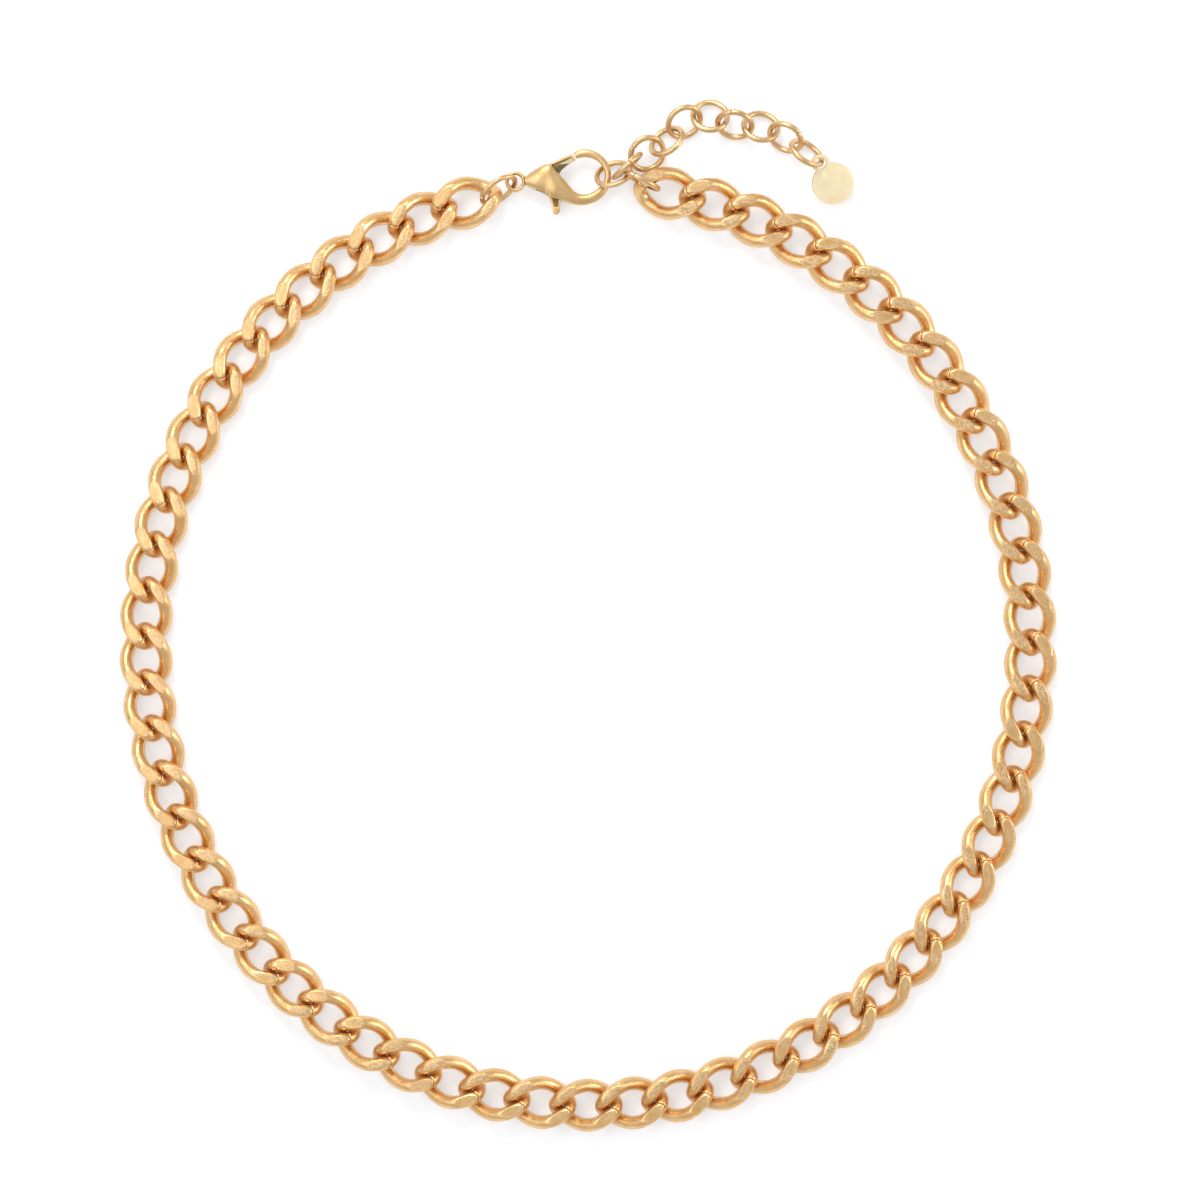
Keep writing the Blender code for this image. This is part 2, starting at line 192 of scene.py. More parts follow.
def gold(name, light, deep, crevice_shade, roughness, flat_height=None, grain=1.0, drawn=False, metallic=1.0, rim=None):
    """Satin gold plating: blotches, fine grain, painted brown shade in crevices, and edges lightened by rubbing and a
    painted highlight; a rim colour paints shade on side-facing faces.
    """
    material = bpy.data.materials.new(name)
    material.use_nodes = True
    tree = material.node_tree
    shader = tree.nodes["Principled BSDF"]
    coordinates, info, place = piece_place(tree)
    blotch = clouds(tree, place, 1.6 * MM, 4)
    speckle = clouds(tree, place, 0.22 * MM, 3)
    dust = clouds(tree, place, 0.07 * MM, 2)

    colour = blend_colours(tree, remap(tree, blotch, 0.35, 0.68), light, deep)
    colour = blend_colours(tree, remap(tree, speckle, 0.48, 0.70, 0.0, 0.30 * grain), colour, deep)
    tone = math_node(tree, "MODULO", math_node(tree, "MULTIPLY", info.outputs["Object Index"], 0.618), 1.0)
    colour = blend_colours(tree, remap(tree, tone, 0.0, 1.0, 0.0, 0.22), colour, deep)
    # Painted shade: where ambient occlusion finds a crevice, the colour is darkened towards the brown crevice colour.
    occlusion_shade = put(tree, "ShaderNodeAmbientOcclusion", {"Distance": 1.6 * MM}, samples=5)
    crevice_shade_share = remap(tree, occlusion_shade.outputs["AO"], 0.75, 0.12, 0.0, 0.85)
    colour = blend_colours(tree, crevice_shade_share, colour, crevice_shade)

    # Convex edges are lightened, partly as rubbed wear and partly as a painted highlight, and made a little smoother.
    curve = put(tree, "ShaderNodeNewGeometry").outputs["Pointiness"]
    rubbed_and_highlight = remap(tree, curve, 0.53, 0.62, 0.0, 0.55)
    colour = blend_colours(tree, rubbed_and_highlight, colour, RUBBED_AND_HIGHLIGHT_GOLD)
    # Painted shade: faces that turn away from straight up are darkened towards the rim colour.
    if rim:
        facing = put(tree, "ShaderNodeSeparateXYZ", {0: coordinates.outputs["Normal"]})
        level = math_node(tree, "ABSOLUTE", facing.outputs["Z"])
        colour = blend_colours(tree, remap(tree, level, 0.97, 0.85), colour, rim)

    rough = remap(tree, speckle, 0.3, 0.7, roughness - 0.06, roughness + 0.08)
    rough = math_node(tree, "SUBTRACT", rough, math_node(tree, "MULTIPLY", rubbed_and_highlight, 0.12))
    height = math_node(tree, "ADD", math_node(tree, "MULTIPLY", speckle, 0.5 * grain), math_node(tree, "MULTIPLY", dust, 0.28 * grain))
    height = math_node(tree, "ADD", height, math_node(tree, "MULTIPLY", blotch, 1.3 * grain))
    if drawn:
        marks = drawn_marks(tree, info)
        colour = blend_colours(tree, remap(tree, marks, 0.40, 0.62, 0.0, 0.85), colour, deep)
        height = math_node(tree, "ADD", height, math_node(tree, "MULTIPLY", marks, 3.0 * grain))

    if flat_height:
        flat = flat_share(tree, coordinates, flat_height)
        scratches = brushed(tree, place)
        flat_colour = blend_colours(tree, remap(tree, scratches, 0.42, 0.60), (0.57, 0.37, 0.17, 1), (0.93, 0.66, 0.38, 1))
        colour = blend_colours(tree, math_node(tree, "MULTIPLY", flat, 0.85), colour, flat_colour)
        flat_rough = remap(tree, scratches, 0.4, 0.6, roughness - 0.02, roughness + 0.18)
        rough = mix_values(tree, flat, rough, flat_rough)
        height = mix_values(tree, flat, height, math_node(tree, "MULTIPLY", scratches, 2.4))

    bump = put(tree, "ShaderNodeBump", {"Height": height, "Distance": 0.012 * MM, "Strength": 1.0})
    tree.links.new(colour, shader.inputs["Base Color"])
    tree.links.new(rough, shader.inputs["Roughness"])
    tree.links.new(bump.outputs["Normal"], shader.inputs["Normal"])
    shader.inputs["Metallic"].default_value = metallic
    return material


def mix_values(tree, share, first, second):
    """One value turning into another."""
    inputs = {0: share, 2: first, 3: second}
    return put(tree, "ShaderNodeMix", inputs, data_type="FLOAT").outputs[0]


def flat_share(tree, coordinates, flat_height):
    """1 on the ground flats of a link, 0 on its round wire."""
    split = put(tree, "ShaderNodeSeparateXYZ", {0: coordinates.outputs["Object"]})
    level = math_node(tree, "ABSOLUTE", split.outputs["Z"])
    near_plane = remap(tree, level, flat_height - 0.10 * MM, flat_height - 0.06 * MM)
    facing = put(tree, "ShaderNodeSeparateXYZ", {0: coordinates.outputs["Normal"]})
    upright = remap(tree, math_node(tree, "ABSOLUTE", facing.outputs["Z"]), 0.94, 0.985)
    return math_node(tree, "MULTIPLY", near_plane, upright)


def brushed(tree, place):
    """Short crossing grinding marks."""
    marks = []
    for turn, stretch in ((0.6, 3.2), (-0.9, 2.2)):
        lie = put(
            tree,
            "ShaderNodeMapping",
            {"Vector": place, "Rotation": (0, 0, turn), "Scale": (1.0, stretch, 1.0)},
        )
        marks.append(clouds(tree, lie.outputs[0], 0.42 * MM, 3, 0.75))
    return math_node(tree, "MULTIPLY", math_node(tree, "ADD", marks[0], marks[1]), 0.5)


def steel(name):
    """Drawn spring wire with lengthwise marks."""
    material = bpy.data.materials.new(name)
    material.use_nodes = True
    tree = material.node_tree
    shader = tree.nodes["Principled BSDF"]
    _, _, place = piece_place(tree)
    lie = put(tree, "ShaderNodeMapping", {"Vector": place, "Scale": (4.0, 0.5, 4.0)})
    marks = clouds(tree, lie.outputs[0], 0.1 * MM, 3)
    colour = blend_colours(tree, marks, (0.42, 0.41, 0.40, 1), (0.62, 0.61, 0.58, 1))
    bump = put(tree, "ShaderNodeBump", {"Height": marks, "Distance": 0.004 * MM})
    tree.links.new(colour, shader.inputs["Base Color"])
    tree.links.new(remap(tree, marks, 0.3, 0.7, 0.28, 0.45), shader.inputs["Roughness"])
    tree.links.new(bump.outputs["Normal"], shader.inputs["Normal"])
    shader.inputs["Metallic"].default_value = 1.0
    return material


# Meshes


def mesh_of_sections(name, sections, closed=False):
    """A tube through sections of equal count; an open tube gets a flat end at each end."""
    mesh = bpy.data.meshes.new(name)
    shape = bmesh.new()
    rings = [[shape.verts.new(point) for point in section] for section in sections]
    count = len(rings[0])
    pairs = list(zip(rings, rings[1:]))
    if closed:
        pairs.append((rings[-1], rings[0]))
    for one, two in pairs:
        for i in range(count):
            j = (i + 1) % count
            shape.faces.new((one[i], one[j], two[j], two[i]))
    if not closed:
        shape.faces.new(rings[0][::-1])
        shape.faces.new(rings[-1])
    bmesh.ops.recalc_face_normals(shape, faces=shape.faces)
    shape.to_mesh(mesh)
    shape.free()
    mesh.shade_smooth()
    mark_along(mesh, sections)
    return mesh


def mark_along(mesh, sections):
    """Keep on each vertex its distance along the wire and its place around it."""
    values = []
    along, before = 0.0, None
    for section in sections:
        middle = sum(section, Vector()) / len(section)
        along += (middle - before).length if before is not None else 0.0
        before = middle
        for i in range(len(section)):
            turn = 2 * math.pi * i / len(section)
            values += (along, math.cos(turn), math.sin(turn))
    mesh.attributes.new("lie", "FLOAT_VECTOR", "POINT").data.foreach_set("vector", values)


def show(name, mesh, material, body, nodes, place=None):
    """A visible piece that rides on a body and stands for CAD nodes."""
    item = bpy.data.objects.new(name, mesh)
    bpy.context.scene.collection.objects.link(item)
    if place is not None:
        item.matrix_world = place
    if not mesh.materials:
        mesh.materials.append(material)
    item.pass_index = len(bpy.data.objects)
    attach(item, body)
    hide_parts(*nodes)
    return item


def link_centre(turn):
    """A point of a link's centre line, at a parameter angle."""
    lean = LINK_TWIST * math.cos(turn)
    across = LINK_HALF_WIDTH * math.sin(turn)
    return Vector((LINK_HALF_LENGTH * math.cos(turn), across * math.cos(lean), -across * math.sin(lean)))


def link_angles(rise, radius, flat):
    """The section's angles from the upright: fine beside each flat's edge, even elsewhere."""
    reach = (flat - rise) / radius
    half_top = math.acos(max(-1.0, min(1.0, reach))) if reach < 1 else 0.0
    half_top = max(half_top, 0.16)
    reach = (flat + rise) / radius
    half_low = math.acos(max(-1.0, min(1.0, reach))) if reach < 1 else 0.0
    half_low = max(half_low, 0.16)
    edge = FLAT_EDGE / radius
    top = [-half_top, -half_top + edge, -half_top / 3, half_top / 3, half_top - edge, half_top]
    low = [math.pi + angle * half_low / half_top for angle in top]
    low = [math.pi - half_low, math.pi - half_low + edge, math.pi - half_low / 3]
    low += [math.pi + half_low / 3, math.pi + half_low - edge, math.pi + half_low]
    right = np.linspace(half_top + edge, math.pi - half_low - edge, 6)
    left = np.linspace(math.pi + half_low + edge, 2 * math.pi - half_top - edge, 6)
    return [*top, *right, *low, *left]


def seam_stations(seam, half_gap, count):
    """Parameter angles around a wire loop that is open at its butt joint, close together there."""
    start, end = seam + half_gap, seam + 2 * math.pi - half_gap
    near = [math.radians(step) for step in SEAM_STEPS]
    inner = np.linspace(start + 2 * near[-1], end - 2 * near[-1], count - 2 - 2 * len(near))
    return [start, *(start + step for step in near), *inner, *(end - step for step in near[::-1]), end]


def link_mesh(variant):
    """One curb link, with the dents, flats and butt joint of one variant."""
    rng = np.random.default_rng(40 + variant)
    tilt_x, tilt_y = rng.uniform(-0.03, 0.03, 2)
    flat = LINK_FLAT_HEIGHT - rng.uniform(0.02, 0.08) * MM
    seed = Vector((variant * 3.1, variant * 1.7, 0.5))
    turns = seam_stations(SEAM_TURN, SEAM_HALF_GAP, LINK_STATIONS)
    sections = []
    slip = Vector((0, rng.uniform(-0.04, 0.04), rng.uniform(-0.04, 0.04))) * MM
    for index, turn in enumerate(turns):
        centre = link_centre(turn)
        ahead = (link_centre(turn + 0.01) - link_centre(turn - 0.01)).normalized()
        side = ahead.cross(UP).normalized()
        rise = side.cross(ahead)
        to_end = min(index, LINK_STATIONS - 1 - index)
        radius = LINK_WIRE_RADIUS * SEAM_SHARES[min(to_end, 2)]
        if index > LINK_STATIONS // 2:
            centre = centre + slip * max(0.0, 1 - to_end / 6)
        section = []
        top = centre.z
        for angle in link_angles(top, radius * rise.z, flat):
            dent = 1 + 0.016 * noise.noise(seed + centre * 900 + rise * math.cos(angle) * 1.2)
            spot = centre + (rise * math.cos(angle) + side * math.sin(angle)) * radius * dent
            level = min(flat + tilt_x * spot.x + tilt_y * spot.y, LINK_FLAT_HEIGHT)
            spot.z = max(-level, min(level, spot.z))
            section.append(spot)
        sections.append(section)
    return mesh_of_sections(f"curb_link_{variant}", sections)


def ring_mesh(name, half_long, half_short, radius, seam, seed):
    """A jump ring in its own plane, cut open by its butt joint at an angle."""
    rng = np.random.default_rng(seed)
    gap = RING_SEAM / half_long / 2
    slip = Vector((0, 0, rng.uniform(-0.09, 0.09))) * MM
    turns = seam_stations(seam, gap, RING_STATIONS)
    sections = []
    for index, turn in enumerate(turns):
        centre = Vector((half_long * math.cos(turn), half_short * math.sin(turn), 0))
        ahead = Vector((-half_long * math.sin(turn), half_short * math.cos(turn), 0)).normalized()
        side = ahead.cross(UP)
        to_end = min(index, RING_STATIONS - 1 - index)
        around = radius * SEAM_SHARES[min(to_end, 2)]
        sign = 1 if index > RING_STATIONS / 2 else -1
        centre += slip * sign * max(0.0, 1 - to_end / 9)
        section = []
        for i in range(RING_SIDES):
            angle = 2 * math.pi * i / RING_SIDES
            dent = 1 + 0.02 * noise.noise(centre * 1100 + Vector((seed, 0, math.cos(angle))))
            section.append(centre + (side * math.cos(angle) + UP * math.sin(angle)) * around * dent)
        sections.append(section)
    return mesh_of_sections(name, sections)


def node_points(node):
    """A CAD node's vertices as an array."""
    mesh = frame["nodes"][node].data
    points = np.empty(len(mesh.vertices) * 3)
    mesh.vertices.foreach_get("co", points)
    return points.reshape(-1, 3)


def flat_piece_axes(node):
    """A flat or ring-shaped node's middle, its level axis, its leaning axis and its normal."""
    points = node_points(node)
    middle = points.mean(axis=0)
    normal = Vector(np.linalg.svd(points - middle, full_matrices=False)[2][2])
    if normal.z < 0:
        normal.negate()
    level = UP.cross(normal).normalized()
    return Vector(middle), level, normal.cross(level), normal


def add_ring(node, radius, seam, material):
    """A jump ring in the place, size and plane of its CAD node."""
    middle, level, lean, normal = flat_piece_axes(node)
    spread = node_points(node) - np.array(middle)
    halves = []
    for axis in (level, lean):
        spread_along = ((spread @ np.array(axis)) ** 2).mean()
        halves.append(math.sqrt(2 * spread_along - radius * radius / 2))
    seed = sum(ord(letter) for letter in node)
    mesh = ring_mesh(node + "_wire", *halves, radius, math.radians(seam), seed)
    place = Matrix((level, lean, normal)).transposed().to_4x4()
    place.translation = middle
    return show("shown_" + node, mesh, material, body_of[node], [node], place)


# The chain


def joint_between(one, other):
    """Where the joint between two bodies stands."""
    for joint in frame["joints"]:
        if {joint["parent"], joint["child"]} == {one, other}:
            return Vector(joint["pos_m"])
    raise ValueError(f"no joint between {one} and {other}")


def middle_pivot(start, end, pitch):
    """The crossing of two paired links: one pitch from both ends, on the loop's outer side."""
    half = (end - start) / 2
    outward = (start + half - loop_centre).normalized()
    outward = (outward - half.normalized() * outward.dot(half.normalized())).normalized()
    return start + half + outward * math.sqrt(pitch**2 - half.length_squared)


def add_chain(material):
    """Every curb link as its own piece; the two links of a pair ride on one body."""
    names = sorted(name for name in frame["nodes"] if name.startswith("link_"))
    row = ["chain_ring", *names, "clasp_ring"]
    pivots = [joint_between(one, two) for one, two in zip(row, row[1:])]
    pitch = (pivots[1] - pivots[0]).length
    meshes = [link_mesh(variant) for variant in range(LINK_VARIANTS)]
    rng = np.random.default_rng(7)
    for name, start, end in zip(names, pivots, pivots[1:]):
        numbers = name.split("_")[1:]
        ends = [start, end]
        if len(numbers) == 2:
            ends = [start, middle_pivot(start, end, pitch), end]
        for number, first, second in zip(numbers, ends, ends[1:]):
            ahead = (second - first).normalized()
            turn = Matrix((ahead, UP.cross(ahead), UP)).transposed().to_4x4()
            place = Matrix.Translation((first + second) / 2) @ turn
            mesh = meshes[int(rng.integers(LINK_VARIANTS))]
            show(f"shown_link_{number}", mesh, material, body_of[name], [name], place)


# The clasp


def smooth_path(stations, count):
    """Points along a smooth curve through stations, as an array of rows."""
    knots = np.array(stations, float)
    steps = np.linalg.norm(np.diff(knots[:, :2], axis=0), axis=1)
    along = np.concatenate([[0], np.cumsum(steps)])
    slopes = np.gradient(knots, along, axis=0)
    wanted = np.linspace(0, along[-1], count)
    index = np.clip(np.searchsorted(along, wanted, "right") - 1, 0, len(steps) - 1)
    step = np.diff(along)[index][:, None]
    t = ((wanted - along[index]) / np.diff(along)[index])[:, None]
    a, b, da, db = knots[index], knots[index + 1], slopes[index] * step, slopes[index + 1] * step
    return a * (2 * t**3 - 3 * t**2 + 1) + b * (3 * t**2 - 2 * t**3) + da * (t**3 - 2 * t**2 + t) + db * (t**3 - t**2)


def clasp_stations():
    """From neck to nose, in mm from the pin: inner edge x, y, outer edge x, y, crest, ridge."""
    return (
        (-3.55, 1.02, -3.5, -0.12, 0.0, 0.05),
        (-3.3, 1.16, -3.2, -0.3, 0.0, 0.05),
        (-2.6, 1.6, -2.6, -0.62, 0.0, 0.08),
        (-1.7, 2.1, -1.95, -1.02, 0.1, 0.1),
        (-0.55, 2.62, -1.3, -1.42, 0.35, 0.2),
        (0.28, 2.66, -0.75, -1.76, 0.45, 0.22),
        (0.92, 2.08, -0.2, -2.12, 0.25, 0.26),
        (1.56, 1.3, 0.4, -2.4, 0.05, 0.28),
        (2.1, 0.58, 1.0, -2.55, -0.05, 0.3),
        (2.55, -0.06, 1.62, -2.68, -0.08, 0.3),
        (3.0, -0.66, 2.3, -2.88, 0.0, 0.3),
        (3.48, -1.22, 3.1, -3.14, 0.05, 0.3),
        (4.1, -1.68, 3.98, -3.36, 0.1, 0.35),
        (5.2, -1.88, 5.25, -3.36, 0.12, 0.3),
        (6.37, -1.47, 6.72, -2.92, 0.15, 0.25),
        (7.4, -0.64, 8.05, -1.78, 0.15, 0.2),
        (7.92, 0.25, 8.78, -0.22, 0.1, 0.15),
        (7.98, 1.1, 8.88, 1.18, 0.0, 0.12),
        (7.66, 1.98, 8.52, 2.45, 0.0, 0.12),
        (6.98, 2.8, 7.6, 3.62, 0.0, 0.12),
        (6.1, 3.26, 6.42, 4.34, 0.05, 0.15),
        (5.2, 3.4, 5.25, 4.6, 0.05, 0.15),
        (4.6, 3.36, 4.4, 4.5, 0.05, 0.15),
        (4.3, 3.28, 3.9, 4.28, 0.05, 0.15),
        (4.0, 3.2, 3.44, 4.0, 0.05, 0.15),
    )


def clasp_body_mesh(pin):
    """The cast body and hook: a dome with a ridge that runs on along the hook's middle."""
    path = smooth_path(clasp_stations(), 150)
    sections = []
    for index, (inner_x, inner_y, outer_x, outer_y, crest, ridge) in enumerate(path):
        middle = Vector((inner_x + outer_x, inner_y + outer_y, 0)) / 2
        left = Vector((inner_x - outer_x, inner_y - outer_y, 0))
        half = left.length / 2
        left.normalize()
        height = CLASP_HALF_THICKNESS * math.tanh(half / CLASP_HALF_THICKNESS)
        to_end = len(path) - 1 - index
        shrink = (0.90, 0.97, 1.0)[min(to_end, 2)]
        section = []
        for i in range(CLASP_SIDES):
            angle = 2 * math.pi * i / CLASP_SIDES
            across, up = math.cos(angle), math.sin(angle)
            round_part = abs(up) ** 0.6
            ridge_part = 0.35 * abs(up) ** 0.3 + 0.65 * (1 - abs(across) ** 1.3)
            dome = round_part * (1 - ridge) + ridge_part * ridge
            level = math.copysign(dome, up) * height * shrink
            reach = (across + crest * up * up) * half * shrink
            section.append(pin + (middle + UP * level + left * reach) * MM)
        sections.append(section)
    item = hidden("casting", mesh_of_sections("clasp_body_casting", sections))
    soften = item.modifiers.new("soften", "SMOOTH")
    soften.factor = 0.5
    soften.iterations = 14
    mesh = apply_modifiers(item)
    bpy.data.objects.remove(item)
    return mesh


def apply_modifiers(item):
    """The mesh with its modifiers worked in."""
    bpy.context.view_layer.update()
    evaluated = item.evaluated_get(bpy.context.evaluated_depsgraph_get())
    return bpy.data.meshes.new_from_object(evaluated)


def hidden(name, mesh, place=None):
    """A cutter that is removed again after use."""
    item = bpy.data.objects.new(name, mesh)
    bpy.context.scene.collection.objects.link(item)
    if place is not None:
        item.matrix_world = place
    return item


def combine(base, tools, edge=None, edge_angle=35):
    """Join or cut a mesh with tools, then round its sharp edges, and return the new mesh."""
    item = hidden("base", base)
    for tool, operation in tools:
        step = item.modifiers.new(operation, "BOOLEAN")
        step.operation = operation
        step.solver = "EXACT"
        step.object = tool
    if edge:
        rim = item.modifiers.new("rim", "BEVEL")
        rim.width = edge
        rim.segments = 3
        rim.limit_method = "ANGLE"
        rim.angle_limit = math.radians(edge_angle)
        rim.use_clamp_overlap = True
    mesh = apply_modifiers(item)
    for tool, _ in tools:
        bpy.data.objects.remove(tool)
    bpy.data.objects.remove(item)
    mesh.shade_smooth()
    return mesh


def torus_mesh(name, centre, radius, wire, flatten=1.0):
    """A closed ring lying level."""
    sections = []
    for i in range(64):
        turn = 2 * math.pi * i / 64
        out = Vector((math.cos(turn), math.sin(turn), 0))
        section = []
        for j in range(18):
            angle = 2 * math.pi * j / 18
            spot = centre + out * (radius + wire * math.cos(angle))
            section.append(spot + UP * wire * flatten * math.sin(angle))
        sections.append(section)
    return mesh_of_sections(name, sections, closed=True)


def box_mesh(name, size):
    """A closed box of a size, centred."""
    mesh = bpy.data.meshes.new(name)
    shape = bmesh.new()
    bmesh.ops.create_cube(shape, size=1.0)
    bmesh.ops.scale(shape, vec=size, verts=shape.verts)
    shape.to_mesh(mesh)
    shape.free()
    return mesh


def disc_mesh(name, radius, depth, segments, wobble=0.0):
    """A closed disc along Z, with a slightly uneven rim."""
    mesh = bpy.data.meshes.new(name)
    shape = bmesh.new()
    bmesh.ops.create_cone(shape, cap_ends=True, segments=segments, radius1=radius, radius2=radius, depth=depth)
    for vertex in shape.verts:
        turn = math.atan2(vertex.co.y, vertex.co.x)
        uneven = 1 + wobble * noise.noise(Vector((math.cos(turn), math.sin(turn), 0)) * 3.5)
        vertex.co.x *= uneven
        vertex.co.y *= uneven
    shape.to_mesh(mesh)
    shape.free()
    return mesh


def outline_mesh(name, outline, thickness):
    """A flat outline in mm, made a closed plate about z = 0."""
    mesh = bpy.data.meshes.new(name)
    shape = bmesh.new()
    low = [shape.verts.new((x * MM, y * MM, -thickness / 2)) for x, y in outline]
    high = [shape.verts.new((x * MM, y * MM, thickness / 2)) for x, y in outline]
    shape.faces.new(low[::-1])
    shape.faces.new(high)
    for i in range(len(outline)):
        j = (i + 1) % len(outline)
        shape.faces.new((low[i], low[j], high[j], high[i]))
    bmesh.ops.recalc_face_normals(shape, faces=shape.faces)
    shape.to_mesh(mesh)
    shape.free()
    return mesh


def round_outline(corners, count):
    """A smooth closed outline through corner points."""
    loop = np.array([*corners, corners[0]], float)
    return smooth_path(loop, count)[:-1]


def add_clasp_body(material, pin):
    """The body with its eyelet, and the slot that the lever and its spring lie in."""
    eyelet = torus_mesh("eyelet", pin + Vector((-4.78, 0.4, 0)) * MM, 1.2 * MM, 0.27 * MM, 1.5)
    opening = (
        (-1.35, -5.0), (1.8, -5.0), (1.6, -1.3), (1.75, 0.2), (2.3, 1.0), (4.5, 3.0), (2.0, 5.0),
        (-0.6, 5.0), (-1.0, 1.7), (-1.95, 1.6), (-1.95, -1.3), (-1.35, -1.3),
    )
    slot = hidden("slot", outline_mesh("slot", opening, CLASP_SLOT), Matrix.Translation(pin))
    mesh = combine(clasp_body_mesh(pin), [(hidden("eyelet", eyelet), "UNION"), (slot, "DIFFERENCE")])
    mesh.set_sharp_from_angle(angle=math.radians(42))
    show("shown_clasp_body", mesh, material, "clasp_body", ["clasp_body"])


def add_clasp_lever(material, floor_material, pin):
    """The lever: a gate arm and a thumb tab, both hollowed to a rough dark floor inside a rim."""
    outline = (
        (-0.9, 0.3), (-0.8, 1.5), (-0.4, 2.3), (0.3, 2.78), (1.5, 3.24), (3.34, 3.86),
        (3.46, 3.8), (3.9, 3.2), (3.84, 3.06), (2.77, 2.45), (1.87, 1.75), (1.45, 1.1),
        (1.2, 0.0), (1.35, -1.3), (1.55, -2.6), (1.42, -3.45), (1.34, -4.25), (1.05, -4.5),
        (0.72, -4.54), (0.42, -4.45), (0.3, -4.2), (0.28, -3.5), (0.08, -2.55), (-0.5, -1.1),
    )
    plate = outline_mesh("lever_plate", outline, 1.0 * MM)
    arm = ((-0.2, 2.2), (0.3, 2.5), (1.63, 2.93), (3.3, 3.5), (3.62, 3.05), (2.8, 2.2), (1.6, 1.1), (-0.2, 1.1))
    tab = ((0.28, -1.6), (0.52, -3.25), (0.66, -3.5), (1.08, -3.5), (1.2, -3.25), (1.34, -1.6))
    tools = []
    for name, recess in (("arm_recess", arm), ("tab_recess", tab)):
        for side in (-1, 1):
            place = Matrix.Translation((0, 0, side * 0.5 * MM))
            tools.append((hidden(name, outline_mesh(name, recess, 0.44 * MM), place), "DIFFERENCE"))
    bore = disc_mesh("lever_bore", 0.45 * MM, 3 * MM, 32)
    tools.append((hidden("lever_bore", bore), "DIFFERENCE"))
    mesh = combine(plate, tools, edge=0.06 * MM)
    mesh.set_sharp_from_angle(angle=math.radians(50))
    mesh.materials.clear()
    mesh.materials.append(material)
    mesh.materials.append(floor_material)
    for face in mesh.polygons:
        face.material_index = int(abs(face.normal.z) > 0.9 and abs(face.center.z) < 0.4 * MM)
    place = Matrix.Translation(pin)
    show("shown_clasp_lever", mesh, material, "clasp_lever", ["clasp_lever"], place)


def add_clasp_pin(material, pin):
    """The rivet pin, with turned edges."""
    mesh = combine(disc_mesh("pin", 0.4 * MM, 2.2 * MM, 40), [], edge=0.08 * MM)
    mesh.set_sharp_from_angle(angle=math.radians(50))
    place = Matrix.Translation(pin)
    show("shown_clasp_pin", mesh, material, body_of["clasp_pin"], ["clasp_pin"], place)


# The tag


def add_tag(material):
    """The blank round tag with its pierced ear and soft rims."""
    middle, _, _, normal = flat_piece_axes("end_tag")
    hang = joint_between("extender_ring_9", "end_tag")
    reach = middle - hang
    reach = (reach - normal * reach.dot(normal)).normalized()
    place = Matrix((reach, normal.cross(reach), normal)).transposed().to_4x4()
    place.translation = hang
    disc = disc_mesh("tag_disc", 2.98 * MM, 0.5 * MM, 120, 0.012)
    disc.transform(Matrix.Translation((3.4 * MM, 0, 0)))
    ear = hidden("ear", disc_mesh("ear", 1.3 * MM, 0.5 * MM, 72, 0.01))
    hole = hidden("ear_hole", disc_mesh("ear_hole", 0.82 * MM, 2 * MM, 56))
    mesh = combine(disc, [(ear, "UNION"), (hole, "DIFFERENCE")], edge=0.14 * MM)
    mesh.set_sharp_from_angle(angle=math.radians(50))
    show("shown_end_tag", mesh, material, "end_tag", ["end_tag"], place)


# The stage


def add_floor():
    """A plain white sheet under the necklace."""
    mesh = bpy.data.meshes.new("floor")
    shape = bmesh.new()
    bmesh.ops.create_grid(shape, x_segments=1, y_segments=1, size=3.0)
    shape.to_mesh(mesh)
    shape.free()
    floor = bpy.data.objects.new("floor", mesh)
    bpy.context.scene.collection.objects.link(floor)
    floor.location.z = cad_box[0][2]
    paper = bpy.data.materials.new("white_paper")
    paper.use_nodes = True
    tree = paper.node_tree
    shader = tree.nodes["Principled BSDF"]
    shader.inputs["Base Color"].default_value = (0.56, 0.56, 0.565, 1)
    shader.inputs["Roughness"].default_value = 0.9
    shader.inputs["Specular IOR Level"].default_value = 0.1
    shader.inputs["Emission Color"].default_value = (0.97, 0.98, 1.0, 1)
    shader.inputs["Emission Strength"].default_value = 0.48
    mesh.materials.append(paper)


def add_light(name, place, size, power, colour=(1, 1, 1)):
    """A square soft light that faces the necklace."""
    light = bpy.data.lights.new(name, "AREA")
    light.shape = "SQUARE"
    light.size = size
    light.energy = power
    light.color = colour
    item = bpy.data.objects.new(name, light)
    bpy.context.scene.collection.objects.link(item)
    item.location = place
    item.rotation_euler = (-Vector(place)).to_track_quat("-Z", "Y").to_euler()


def add_world():
    """An even pale surround."""
    world = bpy.data.worlds.new("surround")
    bpy.context.scene.world = world
    world.use_nodes = True
    background = world.node_tree.nodes["Background"]
    background.inputs["Color"].default_value = (0.96, 0.98, 1.0, 1)
    background.inputs["Strength"].default_value = 0.71


def add_camera():
    """Straight above, turned a little, at the distance of a close product picture."""
    camera = bpy.data.cameras.new("camera")
    item = bpy.data.objects.new("camera", camera)
    bpy.context.scene.collection.objects.link(item)
    distance = 0.55
    picture_width = 170.8 * MM
    camera.sensor_width = 36
    camera.lens = 36 * distance / picture_width
    camera.clip_start = 0.01
    item.location = (1.97 * MM, 2.49 * MM, distance + 1.9 * MM)
    item.rotation_euler = (0, 0, math.radians(-2.58))
    bpy.context.scene.camera = item


body_of = {node: body for body, nodes in frame["record"]["behaviour"]["bodies"].items() for node in nodes}
loop_centre = (Vector(cad_box[0]) + Vector(cad_box[1])) / 2
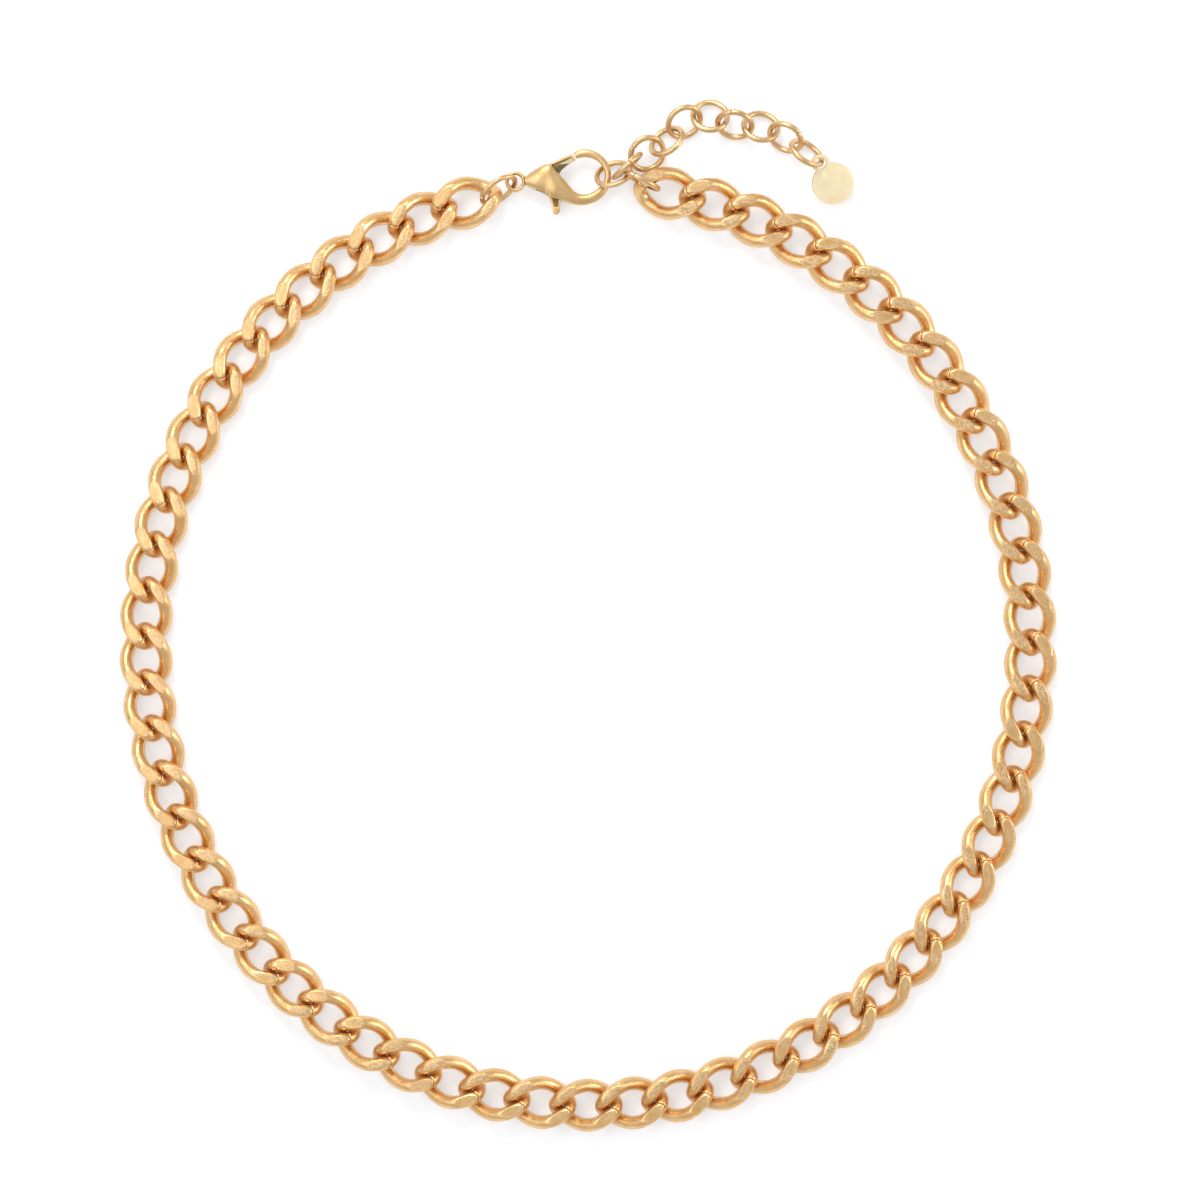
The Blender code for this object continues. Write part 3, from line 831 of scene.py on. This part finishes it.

# The third colour of each gold is painted shade, laid into crevices by ambient occlusion.
chain_gold = gold(
    "chain_gold", (0.90, 0.62, 0.34, 1), (0.76, 0.46, 0.19, 1), (0.58, 0.26, 0.07, 1), 0.31, LINK_FLAT_HEIGHT, drawn=True
)
ring_gold = gold("jump_ring_gold", (0.78, 0.56, 0.32, 1), (0.68, 0.45, 0.22, 1), (0.56, 0.26, 0.08, 1), 0.33, grain=0.7, drawn=True)
clasp_gold = gold("cast_clasp_gold", (0.78, 0.535, 0.27, 1), (0.66, 0.43, 0.18, 1), (0.30, 0.17, 0.05, 1), 0.38, grain=1.7)
dull_gold = gold("dull_lever_floor", (0.36, 0.26, 0.11, 1), (0.10, 0.07, 0.03, 1), (0.05, 0.03, 0.01, 1), 0.62, grain=3.2, metallic=0.45)
# The tag's rim colour is painted shade on its side-facing edges and on the wall of its ear hole.
tag_gold = gold("stamped_tag_gold", (1.0, 0.93, 0.67, 1), (0.91, 0.77, 0.47, 1), (0.62, 0.40, 0.17, 1), 0.40, grain=2.0, metallic=0.6, rim=(0.50, 0.30, 0.12, 1))

add_chain(chain_gold)
add_ring("clasp_ring", CLOSURE_WIRE_RADIUS, 150, ring_gold)
add_ring("hook_ring", CLOSURE_WIRE_RADIUS, 20, ring_gold)
add_ring("chain_ring", EXTENDER_WIRE_RADIUS, 70, ring_gold)
ring_seams = (100, 120, 250, 40, 150, 110, 200, 60, 300)
for number, seam in enumerate(ring_seams, 1):
    add_ring(f"extender_ring_{number}", EXTENDER_WIRE_RADIUS, seam, ring_gold)

pin_place = joint_between("clasp_body", "clasp_lever")
add_clasp_body(clasp_gold, pin_place)
add_clasp_lever(clasp_gold, dull_gold, pin_place)
add_clasp_pin(clasp_gold, pin_place)
spring = frame["nodes"]["clasp_spring"]
spring.data.materials.clear()
spring.data.materials.append(steel("spring_wire"))
add_tag(tag_gold)

add_floor()
add_light("key", (-0.08, 0.50, 0.42), 0.26, 1.95, (1.0, 0.98, 0.95))
add_light("overhead_panel", (-0.34, 0.08, 0.56), 0.50, 1.28, (1.0, 0.98, 0.96))
add_light("right_strip", (0.50, 0.04, 0.24), 0.20, 0.8, (1.0, 0.97, 0.93))
add_world()
add_camera()
bpy.context.scene.view_settings.view_transform = "Standard"
